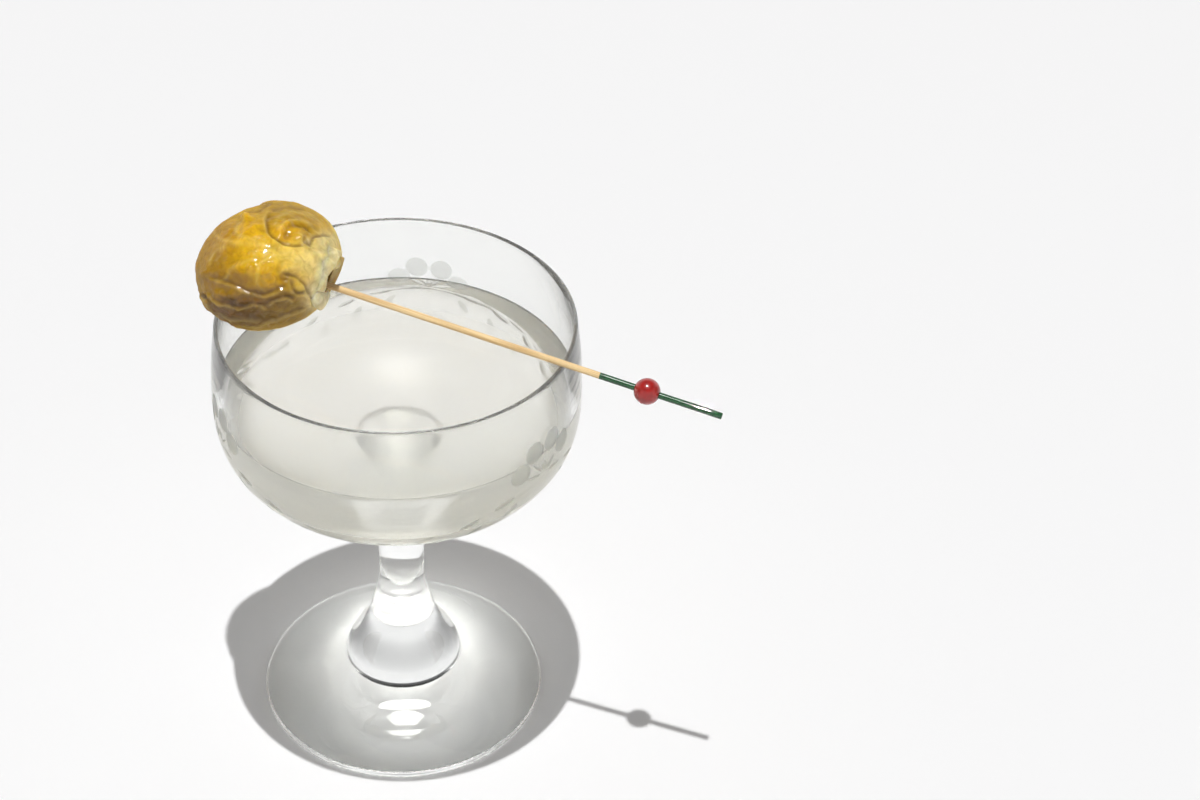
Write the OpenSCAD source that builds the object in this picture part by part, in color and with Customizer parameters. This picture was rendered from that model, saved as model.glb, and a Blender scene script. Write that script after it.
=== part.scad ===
// Martini served in a stemmed coupe, with a pickled sprout on a beaded bamboo pick laid across the rim.
// Millimetres, +Z up. Origin: centre of the foot's underside, where the glass stands on the table.
// -Y is the drinker's side. Nodes: glass, drink, sprout, pick, bead.

/* [Coupe: bowl] */
// Height of the bowl's rounded underside on the axis
bowl_base_z = 74; // [58:0.1:90]
// Rise from that underside to the bowl's widest place
belly_up = 31.6; // [24:0.1:40]
// Rise from the widest place to the top of the lip
rim_up = 20.8; // [14:0.1:28]
// Radius of the bowl at its widest, outside
bowl_r = 47.2; // [38:0.1:58]
// How far the middle of the lip is drawn in from the widest outside radius
rim_draw_in = 2.2; // [1:0.1:6]
// Thickness of the rounded lip
lip_t = 1.1; // [0.8:0.05:2]
// Thickness of the wall at the widest place
wall_t = 1.7; // [1.2:0.05:3]
// Thickness of glass under the drink, on the axis
bowl_floor_t = 4.6; // [3:0.1:8]
// Fullness of the bowl's lower curve along its height
bowl_full_z = 2.97; // [2:0.01:4]
// Fullness of the bowl's lower curve across its radius
bowl_full_r = 1.7; // [1.4:0.01:2.4]

/* [Coupe: stem and foot] */
// Radius of the stem at its waist
waist_r = 6.05; // [4.6:0.05:8]
// Height of the waist
waist_z = 43; // [36:0.1:50]
// Radius where the stem runs into the bowl
stem_top_r = 12; // [9:0.1:15]
// Radius of the crease where the stem meets the bell
crease_r = 8.6; // [6.8:0.1:10.4]
// Height of that crease
crease_z = 29; // [23:0.1:34.8]
// Radius of the bell where it runs out onto the foot
bell_r = 15.7; // [12.4:0.1:19]
// Height of the bell's base ring
bell_z = 13; // [10.2:0.1:15.8]
// Radius of the foot
foot_r = 38.7; // [31:0.1:47]
// Thickness of the foot's rounded edge
foot_edge_t = 2.2; // [1.6:0.1:3]
// How much more steeply the foot rises towards the bell
foot_dish = 1.25; // [1:0.01:1.8]

// How late the stem swells towards the bowl
stem_swell = 2.6; // [1.8:0.1:3.4]
// How late the stem swells towards the crease
crease_swell = 1.8; // [1.3:0.1:2.4]
// Straight share of the bell's flare; the rest is an S-curve
bell_straight = 0.15; // [0:0.05:0.6]

/* [Drink] */
// Depth of the drink's surface below the rim
drink_drop = 20.2; // [14:0.1:30]

/* [Pick] */
// Diameter of the bamboo pick
pick_d = 1.7; // [1.3:0.05:2.4]
// Direction on the rim where the pick lies across it, from +X
pick_rim_az = -27.15; // [-60:0.1:60]
// Direction the pick points in, seen from above, from +X
pick_az = -23.6; // [-60:0.1:60]
// Length of pick past the rim, to its blunt end
pick_out = 41.8; // [33:0.1:50]
// Depth the pick's point reaches into the sprout from the sprout's cut end
pick_bite = 17; // [12:0.1:24]
// Gap between the pick and the lip it lies on
pick_seat_gap = 0.02; // [0.01:0.01:0.2]
// Diameter of the bead
bead_d = 6.6; // [5.2:0.1:8]
// Distance from the rim out to the bead's centre
bead_out = 22.4; // [18:0.1:28]
// Radial clearance of the pick in the bead
bead_fit = 0.02; // [0.01:0.01:0.2]

/* [Sprout] */
// Half length of the sprout, stem end to crown
sprout_a = 18.6; // [14.8:0.1:22.4]
// Half width of the sprout
sprout_b = 19.4; // [15.4:0.1:23.4]
// Half thickness of the sprout
sprout_c = 14.8; // [11.8:0.1:17.8]
// How far the sprout's body is pitched, stem end up
sprout_pitch = 16; // [0:0.5:30]
// Distance of the sprout's centre inside the rim, along the pick
sprout_in = 12.7; // [8:0.1:18]
// How far the pick passes behind the sprout's centre
pick_behind = 2.7; // [0:0.1:5]
// How far the pick passes under the sprout's centre
pick_under = 2.2; // [0:0.1:5]
// Distance from the sprout's centre to the cut across its stem end
sprout_cut = 16.6; // [13:0.1:20]
// Radius of the hollow in the cut end, round the pick
hollow_r = 3.6; // [2.4:0.1:5]
// Depth of that hollow
hollow_deep = 1.6; // [0.5:0.1:3]
// Depth of the steps where one leaf laps over the next
leaf_step = 0.9; // [0.3:0.05:1.6]
// Height of the ribs on the leaves, as a part of the leaf step
rib_part = 0.25; // [0:0.05:0.5]
// Radial clearance of the pick in the sprout
sprout_fit = 0.02; // [0.01:0.01:0.2]
// How far the sprout settles onto the lip, as a part of the leaf step
sprout_settle = 1.0; // [0:0.01:1.05]

/* [Hidden] */
$fn = 96;

steps = 30;                                   // straight pieces in each long curve of the glass
belly_z = bowl_base_z + belly_up;
rim_z = belly_z + rim_up;
rim_r = bowl_r - rim_draw_in;
lip_rad = lip_t / 2;
drink_z = rim_z - drink_drop;

function smooth(t) = t * t * (3 - 2 * t);
function mix(a, b, t) = a + (b - a) * t;

// Lower half of the bowl: a superellipse from the axis (t = 1) out to the widest place (t = 0).
function curve_r(t, r) = r * pow(max(0, 1 - pow(t, bowl_full_z)), 1 / bowl_full_r);
function low_bowl(r, z_low, r_from) =
    [for (i = [0:steps]) let (t = 1 - pow(i / steps, 1.7), q = [curve_r(t, r), mix(belly_z, z_low, t)])
        if (q[0] > r_from) q];
// Upper half of the bowl: draws in gently from the widest place to the lip.
function high_bowl(r, r_lip) =
    [for (i = [1:12]) let (t = i / 12) [mix(r, r_lip, t * t), mix(belly_z, rim_z - lip_rad, t)]];

// Height of the bowl's outside at a radius, found by halving.
function low_z(r, lo = 0, hi = 1, n = 24) =
    n == 0 ? mix(belly_z, bowl_base_z, lo)
           : let (m = (lo + hi) / 2) curve_r(m, bowl_r) > r ? low_z(r, m, hi, n - 1) : low_z(r, lo, m, n - 1);

stem_top_z = low_z(stem_top_r);

foot_profile = [
    for (i = [0:8]) let (a = -90 + 180 * i / 8)
        [foot_r - foot_edge_t / 2 + cos(a) * foot_edge_t / 2, foot_edge_t / 2 + sin(a) * foot_edge_t / 2],
    for (i = [1:14]) let (t = i / 14, s = 1 - t)
        [mix(bell_r, foot_r - foot_edge_t / 2, s), mix(bell_z, foot_edge_t, 1 - pow(t, foot_dish))],
];
bell_profile = [
    for (i = [1:14]) let (t = 1 - i / 14)
        [mix(crease_r, bell_r, bell_straight * t + (1 - bell_straight) * smooth(t)), mix(crease_z, bell_z, t)],
];
stem_profile = [
    for (i = [1:10]) let (t = i / 10) [mix(waist_r, crease_r, pow(1 - t, crease_swell)), mix(crease_z, waist_z, t)],
    for (i = [1:14]) let (t = i / 14) [mix(waist_r, stem_top_r, pow(t, stem_swell)), mix(waist_z, stem_top_z, t)],
];
outer_bowl = concat(low_bowl(bowl_r, bowl_base_z, stem_top_r + 0.2), high_bowl(bowl_r, rim_r + lip_rad));
lip_profile = [for (i = [1:7]) let (a = 180 * i / 8)
    [rim_r + cos(a) * lip_rad, rim_z - lip_rad + sin(a) * lip_rad]];
inner_bowl = concat([[0, bowl_base_z + bowl_floor_t]],
                    low_bowl(bowl_r - wall_t, bowl_base_z + bowl_floor_t, 0.01),
                    high_bowl(bowl_r - wall_t, rim_r - lip_rad));
function flip(p) = [for (i = [len(p) - 1:-1:0]) p[i]];

// The inside of the bowl cut off level at the drink's surface.
function level_r(p, z) =
    [for (i = [0:len(p) - 2]) if (p[i][1] <= z && p[i + 1][1] > z)
        mix(p[i][0], p[i + 1][0], (z - p[i][1]) / (p[i + 1][1] - p[i][1]))][0];

// Pick: a straight line over the rim. Its slope follows from where the sprout comes to rest.
rim_pt = [rim_r * cos(pick_rim_az), rim_r * sin(pick_rim_az)];
along = [cos(pick_az), sin(pick_az)];
front = [sin(pick_az), -cos(pick_az)];
pick_run = 2 * rim_r * cos(pick_rim_az - pick_az) - sprout_in;
sprout_xy = rim_pt - along * pick_run + front * pick_behind;

// Sprout: an ellipsoid turned with the pick and pitched. Height where its underside meets the lip's top.
ex = [cos(pick_az) * cos(sprout_pitch), sin(pick_az) * cos(sprout_pitch), sin(sprout_pitch)];
ey = [-sin(pick_az), cos(pick_az), 0];
ez = [-cos(pick_az) * sin(sprout_pitch), -sin(pick_az) * sin(sprout_pitch), cos(sprout_pitch)];
function under(x, y) =                        // lowest height of the ellipsoid over (x, y), from its centre
    let (w = [1 / (sprout_a * sprout_a), 1 / (sprout_b * sprout_b), 1 / (sprout_c * sprout_c)],
         p = [x * ex[0] + y * ex[1], x * ey[0] + y * ey[1], x * ez[0] + y * ez[1]],
         k = [ex[2], ey[2], ez[2]],
         aa = k[0] * k[0] * w[0] + k[1] * k[1] * w[1] + k[2] * k[2] * w[2],
         bb = p[0] * k[0] * w[0] + p[1] * k[1] * w[1] + p[2] * k[2] * w[2],
         cc = p[0] * p[0] * w[0] + p[1] * p[1] * w[1] + p[2] * p[2] * w[2] - 1,
         dd = bb * bb - aa * cc)
    dd < 0 ? 1e3 : (-bb - sqrt(dd)) / aa;
sprout_z = max([for (a = [0:2:358]) for (r = [rim_r - lip_rad, rim_r, rim_r + lip_rad])
    let (top = rim_z - (r == rim_r ? 0 : lip_rad))
        top - under(r * cos(a) - sprout_xy[0], r * sin(a) - sprout_xy[1])]) - sprout_settle * leaf_step;
sprout_at = [sprout_xy[0], sprout_xy[1], sprout_z];

rim_top = [rim_pt[0], rim_pt[1], rim_z + pick_d / 2 + pick_seat_gap];
pick_rise = atan2(sprout_z - pick_under - rim_top[2], pick_run);
rim_pick = rim_top + [0, 0, (pick_d / 2 + lip_rad) * (1 / cos(pick_rise) - 1)];
cut_at = -pick_run / cos(pick_rise) + sprout_cut; // the cut end, along the pick from the rim
pick_len = pick_out - cut_at + pick_bite;

// Moves to the pick's own frame: origin where it crosses the rim, +X out along the pick.
module on_pick() translate(rim_pick) rotate([0, pick_rise, pick_az]) children();

// Leaves: each lies over part of the ball and ends in a rounded edge; the steps go inwards only.
// u is the angle from the stem end, v the angle round the axis.
// Each leaf: where its midrib lies (v), how far it reaches (u), its half width (v), its height in leaf steps.
edge_sharp = 6;                               // how quickly a leaf's edge rises
leaves = [
    [0, 128, 62, 1.0], [118, 112, 58, 0.9], [238, 118, 60, 0.9],
    [62, 86, 40, 0.6], [182, 92, 42, 0.6], [300, 96, 42, 0.6],
];
function turn(a) = abs(((a + 540) % 360) - 180);
function lap(u, v, leaf) =                    // 1 on the leaf, 0 off it
    let (d = pow(u / leaf[1], 2.4) + pow(turn(v - leaf[0]) / leaf[2] * (0.55 + 0.45 * sin(min(90, u))), 2.4))
        smooth(min(1, max(0, (1.08 - d) * edge_sharp)));
function cover(u, v) = max([for (leaf = leaves) leaf[3] * lap(u, v, leaf)]);
function ball(u, v) =
    let (dir = [cos(u), sin(u) * cos(v), sin(u) * sin(v)],
         full = 1 / norm([dir[0] / sprout_a, dir[1] / sprout_b, dir[2] / sprout_c]),
         rib = rib_part * sin(u) * (1 + sin(5 * v + 40 * sin(2 * u))))
        dir * (full - leaf_step * (1 - cover(u, v) + rib));

module glass() color([0.86, 0.90, 0.89, 0.45])
    rotate_extrude()
        polygon(concat([[0, 0]], foot_profile, bell_profile, stem_profile,
                       outer_bowl, lip_profile, flip(inner_bowl)));

module drink() color([0.86, 0.86, 0.80, 0.8])
    rotate_extrude()
        polygon(concat([for (q = inner_bowl) if (q[1] < drink_z - 0.001) q],
                       [[level_r(inner_bowl, drink_z), drink_z], [0, drink_z]]));

nu = 34;
nv = 56;
module sprout_body()
    polyhedron(
        points = concat([ball(0, 0)], [for (i = [1:nu - 1]) for (j = [0:nv - 1]) ball(180 * i / nu, 360 * j / nv)],
                        [ball(180, 0)]),
        faces = concat(
            [for (j = [0:nv - 1]) [0, 1 + j, 1 + (j + 1) % nv]],
            [for (i = [0:nu - 3]) for (j = [0:nv - 1]) for (k = [0:1])
                let (a = 1 + i * nv + j, b = 1 + i * nv + (j + 1) % nv)
                    k == 0 ? [a, a + nv, b + nv] : [a, b + nv, b]],
            [for (j = [0:nv - 1]) let (m = 1 + (nu - 2) * nv) [m + j, m + nv, m + (j + 1) % nv]]));

module sprout() color([0.78, 0.62, 0.16])
    difference() {
        translate(sprout_at) rotate([0, -sprout_pitch, pick_az]) sprout_body();
        on_pick() translate([cut_at, -40, -40]) cube([40, 80, 80]);
        on_pick() translate([cut_at - hollow_deep, 0, 0]) rotate([0, 90, 0])
            cylinder(h = hollow_deep + 1, r = hollow_r);
        on_pick() translate([pick_out - pick_len - sprout_fit, 0, 0]) rotate([0, 90, 0])
            cylinder(h = pick_bite + 1, r = pick_d / 2 + sprout_fit);
    }

module pick() color([0.90, 0.76, 0.50])
    on_pick() translate([pick_out - pick_len, 0, 0]) rotate([0, 90, 0]) cylinder(h = pick_len, r = pick_d / 2);

module bead() color([0.78, 0.14, 0.12])
    on_pick() translate([bead_out, 0, 0]) rotate([0, 90, 0])
        difference() {
            sphere(d = bead_d);
            cylinder(h = bead_d + 1, r = pick_d / 2 + bead_fit, center = true);
        }

glass();
drink();
sprout();
pick();
bead();
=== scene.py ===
"""Martini in an engraved coupe, with a pickled sprout on a beaded bamboo pick laid across the rim.

The scene is in metres; the sizes in the classes below are millimetres. +Z is up, -Y is the drinker's
side, and the origin is the centre of the foot's underside.
"""

import logging
import math
from dataclasses import dataclass
from enum import Enum
from typing import Callable

import bmesh
import bpy
import numpy as np
from mathutils import Matrix, Vector, noise


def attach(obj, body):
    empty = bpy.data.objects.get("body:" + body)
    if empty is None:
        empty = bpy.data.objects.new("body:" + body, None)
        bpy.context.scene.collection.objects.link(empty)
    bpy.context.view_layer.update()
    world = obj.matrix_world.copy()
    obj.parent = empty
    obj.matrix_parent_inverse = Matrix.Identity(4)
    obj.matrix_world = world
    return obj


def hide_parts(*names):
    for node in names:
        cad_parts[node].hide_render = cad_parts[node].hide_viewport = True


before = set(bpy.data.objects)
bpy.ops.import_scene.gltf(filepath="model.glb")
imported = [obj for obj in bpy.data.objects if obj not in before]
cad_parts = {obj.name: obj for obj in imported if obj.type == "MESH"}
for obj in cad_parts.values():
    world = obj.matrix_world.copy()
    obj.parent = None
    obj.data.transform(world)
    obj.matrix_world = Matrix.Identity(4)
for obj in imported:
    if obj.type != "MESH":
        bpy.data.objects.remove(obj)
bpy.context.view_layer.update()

LOG = logging.getLogger("martini")
MM = 0.001  # one millimetre in scene units
PER_M = 1000.0  # pattern scale of one cycle per millimetre
FULL_LAMP = 4 * math.pi**2  # strength of a lamp that lights a facing white surface to a brightness of one

Profile = list[tuple[float, float]]
Rgba = tuple[float, float, float, float]
Socket = bpy.types.NodeSocket
Tree = bpy.types.NodeTree
Piece = bpy.types.Object
Line3 = tuple[tuple[float, float, float], ...]


# ---------------------------------------------------------------- small helpers


def linear(code: str) -> Rgba:
    """Turns an sRGB hex colour into linear RGBA.

    Args:
        code: Colour as six hex digits, with or without a leading hash.

    Returns:
        Linear red, green, blue and an alpha of one.
    """
    digits = code.lstrip("#")
    channels = []
    for start in (0, 2, 4):
        value = int(digits[start : start + 2], 16) / 255.0
        channels.append(value / 12.92 if value <= 0.04045 else ((value + 0.055) / 1.055) ** 2.4)
    return (channels[0], channels[1], channels[2], 1.0)


def mix(a: float, b: float, t: float) -> float:
    """Returns the value a share t of the way from a to b."""
    return a + (b - a) * t


def ease(t: np.ndarray | float) -> np.ndarray | float:
    """Returns t held to 0..1 and eased in and out."""
    held = np.clip(t, 0.0, 1.0)
    return held * held * (3.0 - 2.0 * held)


def add_node(tree: Tree, kind: str, inputs: dict | None = None, **settings: object) -> bpy.types.Node:
    """Adds one node with its settings and links.

    Args:
        tree: Node tree that the node goes into.
        kind: Blender's name of the node type.
        inputs: Value or socket for each input, by the input's name or number.
        settings: Properties of the node itself.

    Returns:
        The new node.
    """
    node = tree.nodes.new(kind)
    for name, value in settings.items():
        setattr(node, name, value)
    for key, value in (inputs or {}).items():
        if isinstance(value, Socket):
            tree.links.new(value, node.inputs[key])
        else:
            node.inputs[key].default_value = value
    return node


def speckle(tree: Tree, place: Socket, size: float, **inputs: float) -> Socket:
    """Adds noise with patches of a size in millimetres and returns its strength."""
    pattern = {"Vector": place, "Scale": PER_M / size, **inputs}
    return add_node(tree, "ShaderNodeTexNoise", pattern).outputs["Fac"]


def ramp(tree: Tree, share: Socket, stops: list[tuple[float, Rgba]]) -> Socket:
    """Adds a colour ramp.

    Args:
        tree: Node tree that the ramp goes into.
        share: What the ramp reads.
        stops: Position and linear colour of each stop, in order.

    Returns:
        The ramp's colour.
    """
    node = add_node(tree, "ShaderNodeValToRGB", {"Fac": share})
    elements = node.color_ramp.elements
    while len(elements) < len(stops):
        elements.new(1.0)
    for element, (place, colour) in zip(elements, stops):
        element.position = place
        element.color = colour
    return node.outputs["Color"]


def remap(
    tree: Tree, value: Socket, low: float, high: float, start: float = 0.0, end: float = 1.0
) -> Socket:
    """Maps low..high of a value to start..end and returns the result."""
    span = {"Value": value, "From Min": low, "From Max": high, "To Min": start, "To Max": end}
    return add_node(tree, "ShaderNodeMapRange", span).outputs["Result"]


def blend(
    tree: Tree, share: Socket | float, first: Socket | Rgba, second: Socket | Rgba, how: str = "MIX"
) -> Socket:
    """Mixes two colours by a share and returns the new colour."""
    colours = {0: share, 6: first, 7: second}
    return add_node(tree, "ShaderNodeMix", colours, data_type="RGBA", blend_type=how).outputs[2]


def relief(tree: Tree, height: Socket, strength: float, deep: float) -> Socket:
    """Adds a bump some millimetres deep and returns its normal."""
    bump = {"Height": height, "Strength": strength, "Distance": deep * MM}
    return add_node(tree, "ShaderNodeBump", bump).outputs["Normal"]


def new_surface(
    name: str, settings: dict
) -> tuple[bpy.types.Material, Tree, bpy.types.bpy_prop_collection, Socket]:
    """Makes a material with one Principled shader.

    Args:
        name: Material name.
        settings: Plain values for the shader's own sockets.

    Returns:
        The material, its node tree, the shader's inputs and the object's own coordinates.
    """
    material = bpy.data.materials.new(name)
    material.use_nodes = True
    tree = material.node_tree
    tree.nodes.clear()
    shader = add_node(tree, "ShaderNodeBsdfPrincipled", settings)
    add_node(tree, "ShaderNodeOutputMaterial", {"Surface": shader.outputs["BSDF"]})
    place = add_node(tree, "ShaderNodeTexCoord").outputs["Object"]
    return material, tree, shader.inputs, place


def revolve(profile: Profile, steps: int) -> bmesh.types.BMesh:
    """Spins a profile once round the Z axis.

    Args:
        profile: Radius and height of each point, in millimetres, from one end to the other.
        steps: Pieces round the circle.

    Returns:
        A mesh in millimetres with its poles and seam closed and its faces pointing outwards.
    """
    bm = bmesh.new()
    points = [bm.verts.new((radius, 0.0, height)) for radius, height in profile]
    wires = [bm.edges.new(pair) for pair in zip(points, points[1:])]
    whole = {"cent": (0, 0, 0), "axis": (0, 0, 1), "angle": math.tau, "use_merge": True}
    bmesh.ops.spin(bm, geom=points + wires, steps=steps, **whole)
    bmesh.ops.remove_doubles(bm, verts=bm.verts, dist=1e-5)
    bmesh.ops.dissolve_degenerate(bm, edges=bm.edges, dist=1e-6)
    bmesh.ops.recalc_face_normals(bm, faces=bm.faces)
    return bm


def make_piece(bm: bmesh.types.BMesh, name: str, placing: Matrix | None = None) -> Piece:
    """Turns a mesh in millimetres into a piece at the origin.

    Args:
        bm: Mesh in millimetres; it is freed.
        name: Name of the piece.
        placing: Where the piece lies, in millimetres.

    Returns:
        The new object, unturned and unscaled, with its place in its mesh.
    """
    if placing is not None:
        bmesh.ops.transform(bm, matrix=placing, verts=bm.verts)
    bmesh.ops.scale(bm, vec=(MM, MM, MM), verts=bm.verts)
    for face in bm.faces:
        face.smooth = True
    mesh = bpy.data.meshes.new(name)
    bm.to_mesh(mesh)
    bm.free()
    piece = bpy.data.objects.new(name, mesh)
    bpy.context.scene.collection.objects.link(piece)
    return piece


def read_points(mesh: bpy.types.Mesh) -> np.ndarray:
    """Returns a mesh's vertices as an N x 3 array in millimetres."""
    points = np.empty(len(mesh.vertices) * 3, np.float32)
    mesh.vertices.foreach_get("co", points)
    return points.reshape(-1, 3).astype(float) / MM


def write_points(mesh: bpy.types.Mesh, points: np.ndarray) -> None:
    """Writes an N x 3 array of millimetres back to a mesh's vertices."""
    mesh.vertices.foreach_set("co", (points * MM).astype(np.float32).ravel())
    mesh.update()


def write_share(mesh: bpy.types.Mesh, name: str, values: np.ndarray) -> None:
    """Stores one number for each vertex under a name."""
    layer = mesh.attributes.new(name, "FLOAT", "POINT")
    layer.data.foreach_set("value", values.astype(np.float32))


def write_tint(mesh: bpy.types.Mesh, name: str, colours: np.ndarray) -> None:
    """Stores one linear colour for each vertex under a name."""
    layer = mesh.color_attributes.new(name, "FLOAT_COLOR", "POINT")
    rgba = np.column_stack([colours, np.ones(len(colours))])
    layer.data.foreach_set("color", rgba.astype(np.float32).ravel())


def rgb(code: str) -> np.ndarray:
    """Returns an sRGB hex colour as linear red, green and blue."""
    return np.array(linear(code)[:3])


def stain(tint: np.ndarray, code: str, share: np.ndarray) -> np.ndarray:
    """Moves each point's tint towards a colour by the point's share."""
    return tint + (rgb(code) - tint) * share[:, None]


def bell(distance: np.ndarray, width: float) -> np.ndarray:
    """Returns one at a distance of nought, falling softly to nought within about twice the width."""
    return np.exp(-((distance / width) ** 2))


def cloud(points: np.ndarray, size: float, seed: float) -> np.ndarray:
    """Samples smooth noise at each point.

    Args:
        points: N x 3 array of millimetres.
        size: Size of one patch of the noise, in millimetres.
        seed: Shift that makes one field differ from the next.

    Returns:
        One value from -1 to 1 for each point.
    """
    shift = Vector((seed * 7.3, seed * 3.1, seed * 5.7))
    return np.array([noise.noise(Vector(point) / size + shift) for point in points])


def smooth_path(points: tuple[tuple[float, float], ...], pieces: int = 6) -> np.ndarray:
    """Rounds a path with a Catmull-Rom curve.

    Args:
        points: Corners of the path, in millimetres.
        pieces: Straight pieces between two corners.

    Returns:
        M x 2 array of points along the rounded path.
    """
    corners = [np.array(point, float) for point in points]
    corners = [2 * corners[0] - corners[1]] + corners + [2 * corners[-1] - corners[-2]]
    path = []
    for a, b, c, d in zip(corners, corners[1:], corners[2:], corners[3:]):
        for step in range(pieces):
            t = step / pieces
            curve = (2 * a - 5 * b + 4 * c - d) * t * t + (3 * b - a - 3 * c + d) * t**3
            path.append(0.5 * (2 * b + (c - a) * t + curve))
    path.append(corners[-2])
    return np.array(path)


def path_distance(places: np.ndarray, path: np.ndarray) -> tuple[np.ndarray, np.ndarray, np.ndarray]:
    """Measures how far each place is from a path.

    Args:
        places: N x 2 array of millimetres.
        path: M x 2 array of points along the path.

    Returns:
        Distance to the path, side (+1 on the left of its direction), and share of its length passed.
    """
    best = np.full(len(places), 1e9)
    side = np.ones(len(places))
    share = np.zeros(len(places))
    for index, (start, end) in enumerate(zip(path, path[1:])):
        run = end - start
        offset = places - start
        t = np.clip(offset @ run / max(run @ run, 1e-9), 0.0, 1.0)
        gap = offset - t[:, None] * run
        distance = np.hypot(gap[:, 0], gap[:, 1])
        nearer = distance < best
        best[nearer] = distance[nearer]
        turn = run[0] * offset[:, 1] - run[1] * offset[:, 0]
        side[nearer] = np.sign(turn[nearer])
        share[nearer] = (index + t[nearer]) / (len(path) - 1)
    return best, side, share


# ---------------------------------------------------------------- finishes


@dataclass(frozen=True)
class SodaGlass:
    """Clear soda-lime glass, pressed and fire-polished, with wheel-cut flowers left matt.

    Fire polishing gives mirror-clear walls with dark rims and bright bands; the wheel leaves the
    petals pale grey because their ground face scatters what is behind it.
    """

    tint: str = "#FDFEFD"
    ground_tint: str = "#D8DAD5"
    ground: float = 0.40

    def make(self) -> bpy.types.Material:
        """Builds the material."""
        settings = {"Base Color": linear(self.tint), "IOR": 1.5, "Transmission Weight": 1.0}
        material, tree, shader, _ = new_surface("soda_lime_glass_fire_polished", settings)
        cut = add_node(tree, "ShaderNodeAttribute", attribute_name="frost").outputs["Fac"]
        matt = remap(tree, cut, 0.42, 0.58)
        tree.links.new(remap(tree, cut, 0.42, 0.58, 0.0, self.ground), shader["Roughness"])
        colour = blend(tree, matt, linear(self.tint), linear(self.ground_tint))
        tree.links.new(colour, shader["Base Color"])
        return material


@dataclass(frozen=True)
class PaleSpirit:
    """Cold spirit clouded by a little vermouth and brine.

    Fine droplets scatter light through the whole depth, so it looks softly white from above and
    greyer and warmer through the side, and shapes behind it show only as faint ghosts.
    """

    body: str = "#F8F7F6"
    drift: str = "#F6F5F2"
    deep: str = "#F8F5EC"
    haze_from: float = 86.0
    haze_to: float = 104.0
    blur: float = 0.42
    clear_share: float = 0.90

    def make(self) -> bpy.types.Material:
        """Builds the material."""
        settings = {
            "Base Color": linear(self.body),
            "IOR": 1.345,
            "Transmission Weight": self.clear_share,
            "Subsurface Weight": 1.0,
            "Subsurface Radius": (1.0, 0.98, 0.93),
            "Subsurface Scale": 22 * MM,
        }
        material, tree, shader, place = new_surface("cold_spirit_clouded", settings)
        drift = speckle(tree, place, 18, Detail=2.0)
        upper = ramp(tree, drift, [(0.35, linear(self.drift)), (0.65, linear(self.body))])
        height = add_node(tree, "ShaderNodeSeparateXYZ", {"Vector": place}).outputs["Z"]
        low, high = self.haze_from * MM, self.haze_to * MM
        colour = blend(tree, remap(tree, height, low, high), linear(self.deep), upper)
        tree.links.new(colour, shader["Base Color"])
        # The deeper the drink, the more its droplets blur what lies behind it.
        tree.links.new(remap(tree, height, low, high, self.blur, 0.0), shader["Roughness"])
        return material


@dataclass(frozen=True)
class PickledLeaf:
    """Brassica leaf, pickled in vinegar brine and dripping wet.

    Pickling turns the green to gold and olive brown and makes the leaf translucent, so light glows
    through thin edges; the brine film gives small hard highlights on every blister and vein.
    """

    stain: str = "#C4B690"
    stain_size: float = 2.2

    def make(self) -> bpy.types.Material:
        """Builds the material."""
        settings = {
            "Roughness": 0.42,
            "IOR": 1.36,
            "Subsurface Weight": 0.40,
            "Subsurface Radius": (1.0, 0.55, 0.12),
            "Subsurface Scale": 2.2 * MM,
            "Coat Roughness": 0.12,
            "Coat IOR": 1.44,
        }
        material, tree, shader, place = new_surface("pickled_brassica_leaf_wet", settings)
        tint = add_node(tree, "ShaderNodeAttribute", attribute_name="leaf_tint").outputs["Color"]
        stains = speckle(tree, place, self.stain_size, Detail=4.0, Distortion=1.1)
        stain = ramp(tree, stains, [(0.30, linear(self.stain)), (0.62, linear("#FFFFFF"))])
        tree.links.new(blend(tree, 0.55, tint, stain, "MULTIPLY"), shader["Base Color"])
        cells = speckle(tree, place, 0.9, Detail=3.0)
        tree.links.new(relief(tree, cells, 0.45, 0.22), shader["Normal"])
        tree.links.new(relief(tree, speckle(tree, place, 2.6), 0.9, 0.45), shader["Coat Normal"])
        # Seen at a slant, the dripping film breaks up into droplets and mirrors far less.
        slant = add_node(tree, "ShaderNodeLayerWeight", {"Blend": 0.5}).outputs["Facing"]
        tree.links.new(remap(tree, slant, 0.25, 0.75, 1.0, 0.12), shader["Coat Weight"])
        tree.links.new(remap(tree, slant, 0.25, 0.75, 0.3, 0.04), shader["Specular IOR Level"])
        return material


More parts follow.
